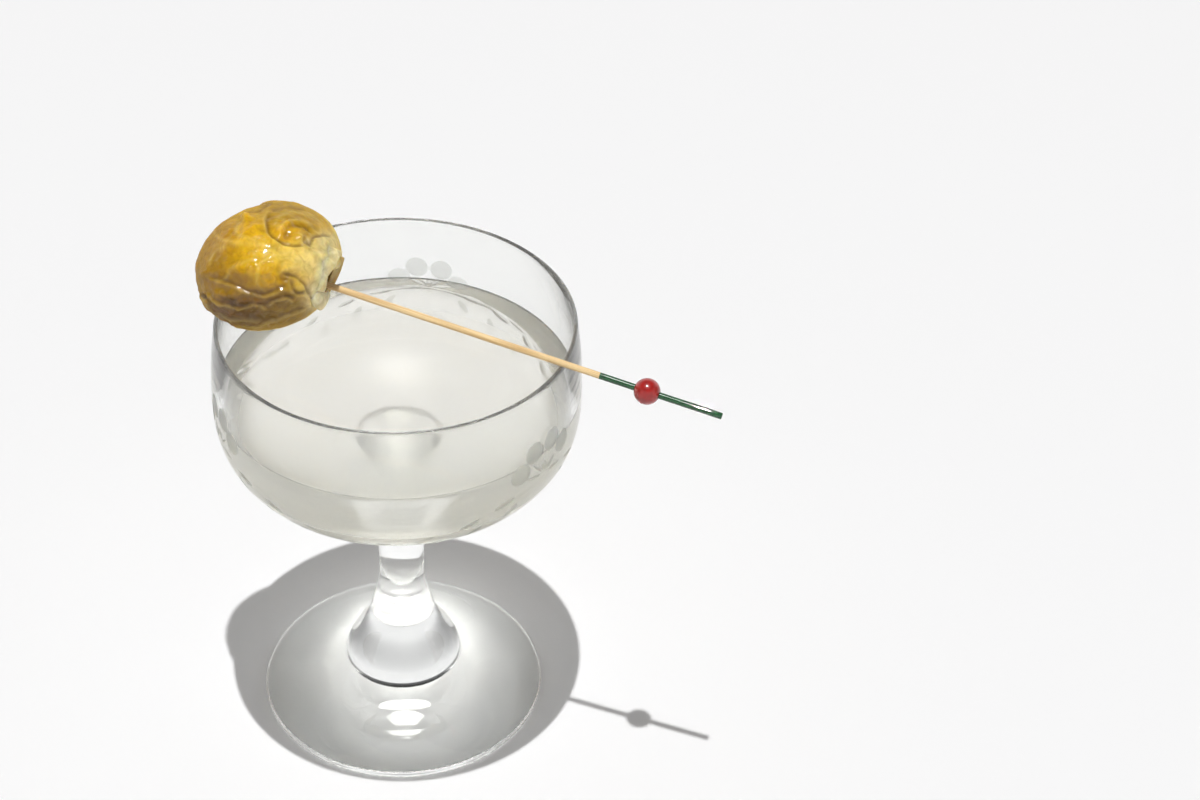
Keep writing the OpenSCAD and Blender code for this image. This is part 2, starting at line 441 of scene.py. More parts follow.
@dataclass(frozen=True)
class Bamboo:
    """Split bamboo, turned to a round pick and sanded, with its outer end dipped in gloss paint.

    Long pale fibres run the whole length of the dry wood; the green dip is thick enough to shine, and
    the lighter green streaks drawn along its fibres are painted glints.
    """

    pale: str = "#E6CA98"
    dark: str = "#C29C66"
    paint: str = "#103C20"
    # the next colour is a painted glint in the green paint
    paint_light: str = "#2A663A"

    def make(self, place: Matrix) -> bpy.types.Material:
        """Builds the material.

        Args:
            place: The pick's own frame, in millimetres, with +X along the pick.

        Returns:
            The material.
        """
        settings = {"IOR": 1.38, "Coat IOR": 1.40}
        material, tree, shader, where = new_surface("bamboo_sanded_paint_dipped", settings)
        turned = {
            "Vector": where,
            "Location": tuple(place.translation * MM),
            "Rotation": tuple(place.to_euler("XYZ")),
        }
        straight = add_node(tree, "ShaderNodeMapping", turned, vector_type="TEXTURE").outputs["Vector"]
        # Real bamboo fibres are about 0.1 mm apart; 0.22 mm is the finest that shows.
        fibre = self.streaks(tree, straight, 14, 0.22, 3.0)
        # painted glints: lighter green flecks drawn out along the fibres of the green paint
        fleck = self.streaks(tree, straight, 0.9, 0.3, 4.0)
        wood = ramp(tree, fibre, [(0.34, linear(self.dark)), (0.60, linear(self.pale))])
        coat = ramp(tree, fleck, [(0.42, linear(self.paint)), (0.68, linear(self.paint_light))])
        dipped = add_node(tree, "ShaderNodeAttribute", attribute_name="dipped").outputs["Fac"]
        edge = remap(tree, dipped, 0.45, 0.55)
        tree.links.new(blend(tree, edge, wood, coat), shader["Base Color"])
        tree.links.new(remap(tree, edge, 0.0, 1.0, 0.55, 0.24), shader["Roughness"])
        tree.links.new(edge, shader["Coat Weight"])
        tree.links.new(relief(tree, fibre, 0.35, 0.06), shader["Normal"])
        return material

    def streaks(self, tree: Tree, straight: Socket, along: float, aside: float, detail: float) -> Socket:
        """Adds noise drawn out along the pick, with its sizes in millimetres."""
        drawn_out = {"Vector": straight, "Scale": (PER_M / along, PER_M / aside, PER_M / aside)}
        drawn = add_node(tree, "ShaderNodeMapping", drawn_out).outputs["Vector"]
        pattern = {"Vector": drawn, "Scale": 1.0, "Detail": detail}
        return add_node(tree, "ShaderNodeTexNoise", pattern).outputs["Fac"]


@dataclass(frozen=True)
class RedEnamel:
    """Turned wooden bead, tumbled in thick gloss enamel.

    The enamel pools smooth over the wood, so the bead is an even warm red with one crisp highlight
    and a very slight orange-peel wobble.
    """

    paint: str = "#A2140F"
    thin: str = "#8A100D"

    def make(self) -> bpy.types.Material:
        """Builds the material."""
        settings = {
            "Roughness": 0.40,
            "IOR": 1.36,
            "Coat Weight": 1.0,
            "Coat Roughness": 0.17,
            "Coat IOR": 1.5,
        }
        material, tree, shader, place = new_surface("turned_wood_red_enamel", settings)
        pools = speckle(tree, place, 1.6)
        colour = ramp(tree, pools, [(0.3, linear(self.thin)), (0.6, linear(self.paint))])
        tree.links.new(colour, shader["Base Color"])
        tree.links.new(relief(tree, speckle(tree, place, 0.5), 0.2, 0.04), shader["Normal"])
        return material


# ---------------------------------------------------------------- the coupe


class Cut(Enum):
    """How the engraver's wheel met the glass."""

    PETAL = "petal"  # broad shallow oval, left matt
    MITRE = "mitre"  # narrow pointed groove, polished


@dataclass(frozen=True)
class WheelCut:
    """One cut, placed on the wall by its distance round and up from a flower's centre."""

    style: Cut
    across: float
    up: float
    length: float
    width: float
    tilt: float = 0.0
    depth: float = 0.2


@dataclass
class Engraving:
    """Three wheel-cut flowers with leaf garlands between them, round the widest part of the bowl."""

    first_azimuth: float = 79.3
    flowers: int = 3
    centre_z: float = 100.7
    wall_r: float = 46.9
    petal_ring: float = 9.5
    petal_bank: float = 0.7
    star_reach: float = 7.4
    star_middle: float = 2.6
    star_high: float = 5.2
    outer_from: float = 45.95
    band_high: float = 17.0
    stalk_deep: float = 0.10
    stalk_half: float = 0.32

    def azimuths(self) -> list[float]:
        """Returns the direction of each flower, in radians."""
        step = 360 / self.flowers
        return [math.radians(self.first_azimuth + step * turn) for turn in range(self.flowers)]

    def cuts(self) -> list[WheelCut]:
        """Lists the cuts of one flower and of the garland on both its sides."""
        made = []
        for angle in (34, 72, 114, 153):
            turn = math.radians(angle)
            across, up = self.petal_ring * math.cos(turn), self.petal_ring * math.sin(turn)
            made.append(WheelCut(Cut.PETAL, across, up, length=6.4, width=6.1, tilt=angle, depth=0.16))
        rays = ((-5, 6.6), (40, 5.0), (75, 3.4), (90, 4.2), (105, 3.4), (131, 6.2), (166, 6.6))
        for angle, length in rays:
            turn = math.radians(angle)
            middle = 0.8 + length / 2
            across, up = middle * math.cos(turn), middle * math.sin(turn)
            made.append(WheelCut(Cut.MITRE, across, up, length, width=1.0, tilt=angle, depth=0.42))
        for side in (1, -1):
            for degrees, drop, slope in ((16, 2.8, 14), (28, 6.0, 24), (42, 9.6, 26), (56, 12.0, 10)):
                across = side * math.radians(degrees) * self.wall_r
                leaf = {"length": 7.0, "width": 1.9, "tilt": -side * slope, "depth": 0.40}
                made.append(WheelCut(Cut.MITRE, across, -drop, **leaf))
            for degrees, drop, slope in ((13, 7.0, 52), (25, 10.6, 54), (38, 13.0, 46)):
                across = side * math.radians(degrees) * self.wall_r
                bud = {"length": 5.6, "width": 1.9, "tilt": -side * slope, "depth": 0.14}
                made.append(WheelCut(Cut.PETAL, across, -drop, **bud))
        return made

    def garland_line(self, turn: np.ndarray) -> np.ndarray:
        """Returns how far the garland's fine stalk hangs below the flower's centre.

        Args:
            turn: Distance round from the nearest flower, in radians.

        Returns:
            Height above the flower's centre, in millimetres.
        """
        share = np.abs(turn) / (math.pi / self.flowers)
        return -0.6 - 12.0 * share**1.3

    def press(self, points: np.ndarray, outward: np.ndarray) -> tuple[np.ndarray, np.ndarray]:
        """Works out what the wheel did at each point of the outer wall.

        Args:
            points: N x 3 array of millimetres.
            outward: N values, above zero where the surface faces outwards.

        Returns:
            Depth of glass removed, in millimetres, and how matt the surface is.
        """
        depth = np.zeros(len(points))
        frost = np.zeros(len(points))
        azimuth = np.arctan2(points[:, 1], points[:, 0])
        band = (outward > 0.3) & (np.abs(points[:, 2] - self.centre_z + 2) < self.band_high)
        for centre in self.azimuths():
            turn = (azimuth - centre + math.pi) % math.tau - math.pi
            near = np.flatnonzero(band & (np.abs(turn) < math.pi / self.flowers + 0.02))
            across = turn[near] * self.wall_r
            up = points[near, 2] - self.centre_z
            for cut in self.cuts():
                angle = math.radians(cut.tilt)
                along = (across - cut.across) * math.cos(angle) + (up - cut.up) * math.sin(angle)
                aside = (up - cut.up) * math.cos(angle) - (across - cut.across) * math.sin(angle)
                if cut.style is Cut.PETAL:
                    rim = np.hypot(along / (cut.length / 2), aside / (cut.width / 2))
                    inside = (1.0 - rim) * cut.width / 2
                    removed = ease(inside / self.petal_bank)
                    matt = np.clip(0.5 + inside / 2.0, 0.0, 1.0)
                else:
                    half = cut.width / 2 * np.clip(1.0 - (2 * along / cut.length) ** 2, 0.0, None)
                    inside = np.where(half > 1e-6, 1.0 - np.abs(aside) / np.maximum(half, 1e-6), 0.0)
                    removed = np.clip(inside, 0.0, 1.0) * half * 2 / cut.width
                    matt = np.where(inside > 0.0, np.clip(0.25 + inside, 0.0, 0.75), 0.0)
                depth[near] = np.maximum(depth[near], cut.depth * removed)
                frost[near] = np.maximum(frost[near], matt)
            stalk = np.abs(up - self.garland_line(turn[near]))
            groove = self.stalk_deep * np.clip(1.0 - stalk / self.stalk_half, 0.0, 1.0)
            depth[near] = np.maximum(depth[near], groove)
        return depth, frost


@dataclass
class Coupe:
    """The stemmed coupe: solid pressed foot and stem, thin curved bowl with a rounded lip."""

    finish: SodaGlass
    engraving: Engraving
    bowl_base_z: float = 74.0
    belly_up: float = 31.6
    rim_up: float = 20.8
    bowl_r: float = 47.2
    rim_draw_in: float = 2.2
    lip_t: float = 1.1
    wall_t: float = 1.7
    bowl_floor_t: float = 4.6
    full_z: float = 2.97
    full_r: float = 1.7
    waist_r: float = 6.05
    waist_z: float = 43.0
    stem_top_r: float = 12.0
    crease_r: float = 8.6
    crease_z: float = 29.0
    bell_r: float = 15.7
    bell_z: float = 13.0
    foot_r: float = 38.7
    foot_edge_t: float = 2.2
    foot_dish: float = 1.25
    stem_swell: float = 2.6
    crease_swell: float = 1.8
    bell_straight: float = 0.15
    around: int = 432

    @property
    def belly_z(self) -> float:
        """Height of the widest place."""
        return self.bowl_base_z + self.belly_up

    @property
    def rim_z(self) -> float:
        """Height of the lip's top."""
        return self.belly_z + self.rim_up

    @property
    def rim_r(self) -> float:
        """Radius of the middle of the lip."""
        return self.bowl_r - self.rim_draw_in

    def low_radius(self, radius: float, t: float) -> float:
        """Returns the lower bowl's radius, from the widest place (t 0) to the axis (t 1)."""
        return radius * max(0.0, 1 - t**self.full_z) ** (1 / self.full_r)

    def low_bowl(self, radius: float, bottom: float, heights: list[float]) -> Profile:
        """Lists the lower bowl's curve.

        Args:
            radius: Radius at the widest place.
            bottom: Height on the axis.
            heights: Shares of the height at which points lie, 1 on the axis and 0 at the widest place.

        Returns:
            Radius and height of each point.
        """
        return [(self.low_radius(radius, t), mix(self.belly_z, bottom, t)) for t in heights]

    def high_bowl(self, radius: float, lip_radius: float, count: int) -> Profile:
        """Lists the upper bowl's curve from just above the widest place to the lip."""
        top = self.rim_z - self.lip_t / 2
        shares = [step / count for step in range(1, count + 1)]
        return [(mix(radius, lip_radius, t * t), mix(self.belly_z, top, t)) for t in shares]

    def inner_curve(self, fine: int) -> Profile:
        """Lists the bowl's inside from the axis to the lip, its lower part in so many pieces."""
        radius = self.bowl_r - self.wall_t
        bottom = self.bowl_base_z + self.bowl_floor_t
        heights = [1 - (step / fine) ** 1.7 for step in range(fine + 1)]
        upper = self.high_bowl(radius, self.rim_r - self.lip_t / 2, 12)
        return self.low_bowl(radius, bottom, heights) + upper

    def foot(self) -> Profile:
        """Lists the foot from its rounded edge to the bell."""
        half = self.foot_edge_t / 2
        edge = self.foot_r - half
        turns = [math.radians(-90 + 180 * step / 10) for step in range(11)]
        curve = [(edge + math.cos(a) * half, half + math.sin(a) * half) for a in turns]
        for step in range(1, 23):
            t = step / 22
            height = mix(self.bell_z, self.foot_edge_t, 1 - t**self.foot_dish)
            curve.append((mix(self.bell_r, edge, 1 - t), height))
        return curve

    def bell_and_stem(self) -> Profile:
        """Lists the bell, the crease, the waist and the swell into the bowl."""
        curve = []
        for step in range(1, 21):
            t = 1 - step / 20
            flare = self.bell_straight * t + (1 - self.bell_straight) * float(ease(t))
            curve.append((mix(self.crease_r, self.bell_r, flare), mix(self.crease_z, self.bell_z, t)))
        for step in range(1, 13):
            t = step / 12
            radius = mix(self.waist_r, self.crease_r, (1 - t) ** self.crease_swell)
            curve.append((radius, mix(self.crease_z, self.waist_z, t)))
        top = self.height_at(self.stem_top_r)
        for step in range(1, 17):
            t = step / 16
            radius = mix(self.waist_r, self.stem_top_r, t**self.stem_swell)
            curve.append((radius, mix(self.waist_z, top, t)))
        return curve

    def height_at(self, radius: float) -> float:
        """Finds the height of the lower bowl's outside at a radius by halving."""
        low, high = 0.0, 1.0
        for _ in range(40):
            middle = (low + high) / 2
            if self.low_radius(self.bowl_r, middle) > radius:
                low = middle
            else:
                high = middle
        return mix(self.belly_z, self.bowl_base_z, low)

    def outer_bowl(self) -> Profile:
        """Lists the bowl's outside, with close rows where it is engraved."""
        start = (self.belly_z - self.height_at(self.stem_top_r + 0.3)) / self.belly_up
        heights = [mix(start, 0.60, (step / 10) ** 0.8) for step in range(11)]
        heights += [mix(0.60, 0.0, step / 44) for step in range(1, 45)]
        curve = self.low_bowl(self.bowl_r, self.bowl_base_z, heights)
        return curve + self.high_bowl(self.bowl_r, self.rim_r + self.lip_t / 2, 30)

    def profile(self) -> Profile:
        """Lists the whole section, from the axis under the foot to the axis inside the bowl."""
        half = self.lip_t / 2
        turns = [math.pi * step / 10 for step in range(1, 10)]
        lip = [(self.rim_r + math.cos(a) * half, self.rim_z - half + math.sin(a) * half) for a in turns]
        underside = [(0.0, 0.0), (12.0, 0.0), (26.0, 0.0)]
        outside = underside + self.foot() + self.bell_and_stem() + self.outer_bowl()
        return outside + lip + self.inner_curve(26)[::-1]

    def refine_stars(self, bm: bmesh.types.BMesh) -> None:
        """Halves the mesh's squares where the flowers' finest cuts lie."""
        cut = self.engraving
        chosen = set()
        for face in bm.faces:
            middle = face.calc_center_median()
            height = abs(middle.z - cut.centre_z - cut.star_middle)
            if height > cut.star_high or middle.xy.length < cut.outer_from:
                continue
            azimuth = math.atan2(middle.y, middle.x)
            for centre in cut.azimuths():
                turn = (azimuth - centre + math.pi) % math.tau - math.pi
                if abs(turn) * cut.wall_r < cut.star_reach:
                    chosen.update(face.edges)
        bmesh.ops.subdivide_edges(bm, edges=list(chosen), cuts=1, use_grid_fill=True)

    def build(self) -> Piece:
        """Builds the glass, cuts the flowers into it and dresses it."""
        bm = revolve(self.profile(), self.around)
        self.refine_stars(bm)
        piece = make_piece(bm, "coupe_engraved")
        mesh = piece.data
        points = read_points(mesh)
        normals = np.empty(len(mesh.vertices) * 3, np.float32)
        mesh.vertex_normals.foreach_get("vector", normals)
        normals = normals.reshape(-1, 3)
        radial = points[:, :2] / np.maximum(np.hypot(points[:, 0], points[:, 1]), 1e-6)[:, None]
        outward = (normals[:, :2] * radial).sum(axis=1)
        depth, frost = self.engraving.press(points, outward)
        write_points(mesh, points - normals * depth[:, None])
        write_share(mesh, "frost", frost)
        mesh.materials.append(self.finish.make())
        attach(piece, "root")
        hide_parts("glass")
        return piece


@dataclass
class Drink:
    """What fills the bowl: it reaches just into the wall, and climbs the glass in a small meniscus."""

    finish: PaleSpirit
    coupe: Coupe
    drop: float = 20.2
    into_wall: float = 0.28
    meniscus_up: float = 0.5
    meniscus_in: float = 1.3
    around: int = 288

    def surface_height(self, inset: float) -> float:
        """Returns how far the surface stands above its level, at a distance in from the glass."""
        return self.meniscus_up * math.exp(-max(inset, 0.0) / self.meniscus_in)

    def build(self) -> Piece:
        """Builds the drink and dresses it."""
        level = self.coupe.rim_z - self.drop
        inner = self.coupe.inner_curve(60)
        top = level + self.meniscus_up
        below = [(r, z) for r, z in inner if z < top - 0.15]
        wet = [(0.0, below[0][1] - self.into_wall)]
        for (r0, z0), (r1, z1) in zip(below, below[1:]):
            run = math.hypot(r1 - r0, z1 - z0)
            wet.append((r1 + (z1 - z0) / run * self.into_wall, z1 - (r1 - r0) / run * self.into_wall))
        glass_r = below[-1][0]
        edge_r = wet[-1][0]
        shares = [1 - (step / 26) ** 1.8 for step in range(26)]
        insets = [glass_r * (1 - share) for share in shares]
        rises = [self.surface_height(inset - self.into_wall) for inset in insets]
        surface = [(edge_r - inset, level + rise) for inset, rise in zip(insets, rises)]
        surface = [(r, z) for r, z in surface if r > 0.4]
        bm = revolve(wet + surface + [(0.0, level)], self.around)
        piece = make_piece(bm, "drink_cloudy")
        piece.data.materials.append(self.finish.make())
        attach(piece, "root")
        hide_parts("drink")
        return piece


# ---------------------------------------------------------------- the pick and its bead


@dataclass
class PickLine:
    """Where the pick and the sprout lie: a straight line over the rim, down and outwards."""

    rim_r: float = 45.0
    rim_z: float = 126.4
    lip_t: float = 1.1
    pick_d: float = 1.7
    rim_azimuth: float = -27.15
    azimuth: float = -23.6
    seat_gap: float = 0.02
    sprout_in: float = 12.7
    behind: float = 2.7
    under: float = 2.2
    sprout_z: float = 137.9

    @property
    def run(self) -> float:
        """Level distance from the rim back to the sprout's middle."""
        return 2 * self.rim_r * math.cos(math.radians(self.rim_azimuth - self.azimuth)) - self.sprout_in

    @property
    def rise(self) -> float:
        """Slope of the pick, in radians, falling outwards."""
        seat = self.rim_z + self.pick_d / 2 + self.seat_gap
        return math.atan2(self.sprout_z - self.under - seat, self.run)

    def frame(self) -> Matrix:
        """Returns the pick's own frame: origin where it crosses the rim, +X outwards along it."""
        turn = math.radians(self.rim_azimuth)
        seat = self.rim_z + self.pick_d / 2 + self.seat_gap
        seat += (self.pick_d / 2 + self.lip_t / 2) * (1 / math.cos(self.rise) - 1)
        place = Matrix.Translation((self.rim_r * math.cos(turn), self.rim_r * math.sin(turn), seat))
        place = place @ Matrix.Rotation(math.radians(self.azimuth), 4, "Z")
        return place @ Matrix.Rotation(self.rise, 4, "Y")

    def sprout_middle(self) -> Vector:
        """Returns the sprout's middle."""
        turn = math.radians(self.azimuth)
        rim = math.radians(self.rim_azimuth)
        along = Vector((math.cos(turn), math.sin(turn), 0))
        front = Vector((math.sin(turn), -math.cos(turn), 0))
        start = Vector((self.rim_r * math.cos(rim), self.rim_r * math.sin(rim), self.sprout_z))
        return start - along * self.run + front * self.behind


@dataclass
class Pick:
    """Round bamboo pick: hidden point in the sprout, blunt outer end, outer stretch painted green."""

    finish: Bamboo
    line: PickLine
    out: float = 41.8
    cut_at: float = -61.0
    bite: float = 17.0
    paint_from: float = 10.1
    chamfer: float = 0.14
    around: int = 40

    def build(self) -> Piece:
        """Builds the pick and dresses it."""
        radius = self.line.pick_d / 2
        inner = self.cut_at - self.bite
        count = int((self.out - inner - 5) / 1.5)
        stations = [inner + 1.8, inner + 3.6] + [inner + 4 + step * 1.5 for step in range(count)]
        stations += [self.paint_from - 0.25, self.paint_from, self.paint_from + 0.25]
        shape = [(0.0, inner), (radius * 0.5, inner + 1.4)]
        for place in sorted(stations):
            wobble = 0.02 * noise.noise(Vector((place / 6, 0.3, 0.7)))
            paint = 0.015 if place > self.paint_from else 0.0
            taper = min(1.0, 0.62 + (place - inner) / 11)
            shape.append(((radius + wobble - 0.02) * taper + paint, place))
        last = radius - 0.005
        shape += [(last, self.out - self.chamfer), (last - self.chamfer, self.out), (0.0, self.out)]
        bm = revolve(shape, self.around)
        placing = self.line.frame() @ Matrix.Rotation(math.radians(90), 4, "Y")
        rings = np.array([vert.co.z for vert in bm.verts])
        piece = make_piece(bm, "pick_bamboo", placing)
        write_share(piece.data, "dipped", np.clip((rings - self.paint_from) / 0.5 + 0.5, 0.0, 1.0))
        piece.data.materials.append(self.finish.make(self.line.frame()))
        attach(piece, "root")
        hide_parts("pick")
        return piece


@dataclass
class Bead:
    """Drilled wooden bead, painted red, threaded on the painted stretch of the pick."""

    finish: RedEnamel
    line: PickLine
    diameter: float = 6.6
    out: float = 22.4
    fit: float = 0.03
    mouth: float = 0.16
    around: int = 96

    def build(self) -> Piece:
        """Builds the bead and dresses it."""
        radius = self.diameter / 2
        bore = self.line.pick_d / 2 + self.fit
        start = math.asin((bore + self.mouth) / radius)
        turns = [start + (math.pi - 2 * start) * step / 48 for step in range(49)]
        skin = [(math.sin(a) * radius, math.cos(a) * radius) for a in turns]
        depth = skin[0][1] - self.mouth
        shape = [(bore, depth), (bore + 0.04, depth + self.mouth * 0.7)] + skin
        shape += [(bore + 0.04, -depth - self.mouth * 0.7), (bore, -depth), (bore, 0.0), (bore, depth)]
        bm = revolve(shape, self.around)
        placing = self.line.frame() @ Matrix.Translation((self.out, 0, 0))
        placing = placing @ Matrix.Rotation(math.radians(90), 4, "Y")
        piece = make_piece(bm, "bead_red", placing)
        piece.data.materials.append(self.finish.make())
        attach(piece, "root")
        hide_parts("bead")
        return piece


# ---------------------------------------------------------------- the sprout


class Mark(Enum):
    """How a drawn line stands on the leaf."""

    VEIN = "vein"  # rounded ridge, pale
    # a crease is also darkened with painted shade
    CREASE = "crease"  # sunk line, dark
    # an edge also gets a painted highlight on its lip and a painted shadow beneath it
    EDGE = "edge"  # leaf edge: the left side of the line lies on top


@dataclass(frozen=True)
class Line:
    """A line drawn on the sprout's front, in millimetres right and up from its middle."""

    mark: Mark
    points: tuple[tuple[float, float], ...]
    width: float
    lift: float


@dataclass(frozen=True)
class Patch:
    """A soft oval on the sprout's front: a swelling, a hollow or a wash of colour."""

    right: float
    up: float
    wide: float
    high: float
    lift: float = 0.0
    tint: str = ""
    strength: float = 0.0


@dataclass(frozen=True)
class Flap:
    """A thin torn leaf end at the cut, in millimetres right, up and towards the drinker."""

    root: Line3
    free: Line3
    tint: str
    bow: float = 0.5
    thick: float = 0.7
    rows: int = 14
    columns: int = 30

    def sheet(self) -> np.ndarray:
        """Lists the points of the flap's middle, as rows x columns x 3."""
        ends = []
        for line in (self.root, self.free):
            level = smooth_path(tuple(point[:2] for point in line))
            near = smooth_path(tuple((point[0], point[2]) for point in line))
            path = np.column_stack([level, near[:, 1]])
            wanted = np.linspace(0.0, len(path) - 1.0, self.columns)
            given = np.arange(len(path))
            ends.append(np.column_stack([np.interp(wanted, given, path[:, axis]) for axis in range(3)]))
        sheet = []
        for row in range(self.rows):
            t = row / (self.rows - 1)
            line = mix(ends[0], ends[1], t)
            ripple = np.sin(np.linspace(0.4, 7.0, self.columns)) * 0.16 * t
            line[:, 2] += self.bow * math.sin(math.pi * t) + ripple
            sheet.append(line)
        return np.array(sheet)

    def shell(self) -> tuple[np.ndarray, list[tuple[int, ...]]]:
        """Builds a closed shell round the sheet, thinner towards its torn edge.

        Returns:
            Its points, and its faces as numbers of points.
        """
        sheet = self.sheet()
        down = np.gradient(sheet, axis=0)
        across = np.gradient(sheet, axis=1)
        normal = np.cross(across, down)
        normal /= np.linalg.norm(normal, axis=2)[:, :, None]
        taper = np.linspace(1.0, 0.35, self.rows)[:, None, None] * self.thick / 2
        sides = [sheet + normal * taper, sheet - normal * taper]
        points = np.concatenate([side.reshape(-1, 3) for side in sides])
        count = self.rows * self.columns
        faces = []
        for row in range(self.rows - 1):
            for column in range(self.columns - 1):
                a = row * self.columns + column
                square = (a, a + 1, a + 1 + self.columns, a + self.columns)
                faces.append(square)
                faces.append(tuple(count + corner for corner in reversed(square)))
        around = list(range(self.columns))
        around += [row * self.columns + self.columns - 1 for row in range(1, self.rows)]
        around += [(self.rows - 1) * self.columns + column for column in range(self.columns - 2, -1, -1)]
        around += [row * self.columns for row in range(self.rows - 2, 0, -1)]
        for a, b in zip(around, around[1:] + around[:1]):
            faces.append((a, count + a, count + b, b))
        return points, faces


@dataclass
class Sprout:
    """Pickled sprout: wrapped leaves with veins and blisters, cut end towards the pick."""

    finish: PickledLeaf
    line: PickLine
    half_long: float = 18.6
    half_wide: float = 19.4
    half_thick: float = 14.8
    pitch: float = 16.0
    cut: float = 16.6
    leaf_step: float = 0.9
    hollow_r: float = 5.4
    hollow_deep: float = 3.4
    press_r: float = 0.72
    gold: str = "#BE960C"
    pale: str = "#E6CE72"
    brown: str = "#6A480C"
    # the next colour is painted shade in the hollow round the pick
    pith: str = "#7A5420"
    collar: str = "#E3D9A8"
    patch_lift: float = 0.8
    pimple_r: float = 0.95
    pimple_lift: float = 0.50
    vein_lift: float = 0.36
    vein_pale: float = 0.22
    crease_sink: float = 0.6
    # the next share paints shade along the creases
    crease_dark: float = 0.42
    edge_lift: float = 0.62
    # the next two shares: painted highlight on each leaf edge's lip, painted shadow under it
    edge_pale: float = 0.26
    edge_dark: float = 0.60

    def axes(self) -> Matrix:
        """Returns the sprout's frame: +X to its stem end, +Z to its upper side."""
        place = Matrix.Translation(self.line.sprout_middle())
        place = place @ Matrix.Rotation(math.radians(self.line.azimuth), 4, "Z")
        return place @ Matrix.Rotation(-math.radians(self.pitch), 4, "Y")

    def chart(self) -> np.ndarray:
        """Returns the directions right, up and towards the drinker in which the front is drawn."""
        face = np.array(Vector((0.05, -0.82, 0.57)).normalized())
        right = np.array(Vector((0.998, 0.034, -0.044)).normalized())
        return np.array([right, np.cross(face, right), face])

    def lines(self) -> list[Line]:
        """Lists the veins, creases and leaf edges of the front."""
        vein, crease, edge = Mark.VEIN, Mark.CREASE, Mark.EDGE
        return [
            # pale midrib of the outer leaf, and the veins that fan from it
            Line(
                vein,
                ((17.5, 3.0), (10.4, 2.4), (4.2, 3.4), (-1.0, 4.6), (-6.7, 5.6), (-16.0, 4.8)),
                width=0.9,
                lift=0.45,
            ),
            Line(vein, ((1.5, 4.3), (-3.6, 6.3), (-6.6, 7.4), (-7.4, 9.2), (-6.4, 12.0)), 0.6, 0.4),
            Line(vein, ((-7.6, 5.6), (-12.0, 6.8), (-13.4, 9.4), (-12.4, 11.8)), 0.55, 0.3),
            Line(vein, ((-9.5, 5.4), (-13.2, 2.6), (-14.0, -1.2)), 0.55, 0.3),
            Line(vein, ((3.6, 3.0), (0.2, 2.0), (-2.2, 0.2), (-2.4, -4.4), (0.2, -6.6)), 0.6, 0.4),
            Line(vein, ((-3.0, 1.8), (-6.2, 1.0), (-9.2, -1.3), (-11.0, -3.4), (-14.2, -3.4)), 0.6, 0.45),
            Line(vein, ((10.0, 0.6), (5.0, -0.4), (2.4, -1.4)), 0.6, 0.25),
            Line(vein, ((12.0, 1.8), (7.0, 1.4), (2.0, 2.4)), 0.5, 0.2),
            # edge of the second leaf, curling at upper right, with its swirled folds
            Line(edge, ((10.0, 4.5), (5.7, 4.7), (1.6, 6.3), (-0.6, 10.4), (0.7, 15.0)), 0.8, 0.75),
            Line(edge, ((17.0, 7.2), (12.0, 7.0), (10.4, 4.6), (8.6, 6.0), (8.8, 8.6)), 0.7, 0.6),
            Line(vein, ((1.4, 9.0), (2.6, 12.0), (6.4, 13.6), (11.0, 12.6), (14.6, 9.4)), 0.6, 0.45),
            Line(vein, ((2.6, 8.0), (4.6, 11.0), (8.6, 11.4), (12.2, 9.6)), 0.5, 0.4),
            Line(crease, ((4.0, 8.8), (6.2, 10.0), (9.4, 9.8), (11.4, 7.8)), 0.5, 0.5),
            Line(crease, ((0.6, 14.0), (5.0, 15.0), (10.0, 14.4)), 0.45, 0.45),
            Line(crease, ((-2.6, 14.6), (3.0, 16.0), (8.6, 15.6)), 0.4, 0.4),
            Line(crease, ((-6.0, 13.0), (-2.0, 14.0), (1.0, 16.4)), 0.4, 0.35),
            # notch and torn flaps below the midrib
            Line(edge, ((10.8, -10.8), (10.2, -7.8), (7.6, -3.8), (5.2, -2.6), (3.0, -1.6)), 0.5, 0.9),
            Line(edge, ((9.4, -6.9), (7.2, -7.0), (5.6, -5.6), (5.1, -2.9)), 0.45, 0.6),
            Line(
                edge,
                ((5.0, -5.4), (3.0, -5.2), (0.6, -6.8), (-2.0, -7.2))
                + ((-6.0, -6.0), (-10.5, -4.0), (-17.5, -2.2)),
                width=0.7,
                lift=0.9,
            ),
            # wrinkled folds of the lower leaf
            Line(edge, ((6.6, -8.8), (4.2, -7.6), (1.6, -8.4), (-0.8, -9.8)), 0.5, 0.7),
            Line(crease, ((-1.0, -8.2), (-5.0, -7.6), (-9.0, -8.4), (-13.0, -6.4)), 0.5, 0.6),
            Line(edge, ((0.6, -10.6), (-3.2, -9.4), (-7.0, -10.2), (-11.4, -9.0), (-15.4, -6.4)), 0.6, 0.7),
            Line(crease, ((2.4, -11.4), (-1.6, -11.4), (-5.0, -12.0), (-9.0, -11.4)), 0.5, 0.6),
            Line(edge, ((-1.0, -13.4), (-5.4, -13.2), (-9.6, -12.8), (-12.8, -11.0)), 0.6, 0.6),
            Line(edge, ((-12.0, -14.0), (-14.2, -10.6), (-15.6, -8.4), (-18.0, -7.0)), 0.6, 1.0),
            Line(crease, ((-4.0, -8.6), (-6.2, -11.0), (-9.2, -13.0)), 0.45, 0.45),
            Line(edge, ((10.4, -10.0), (4.0, -12.6), (-2.0, -14.6), (-6.0, -15.2)), 0.8, 0.5),
        ]

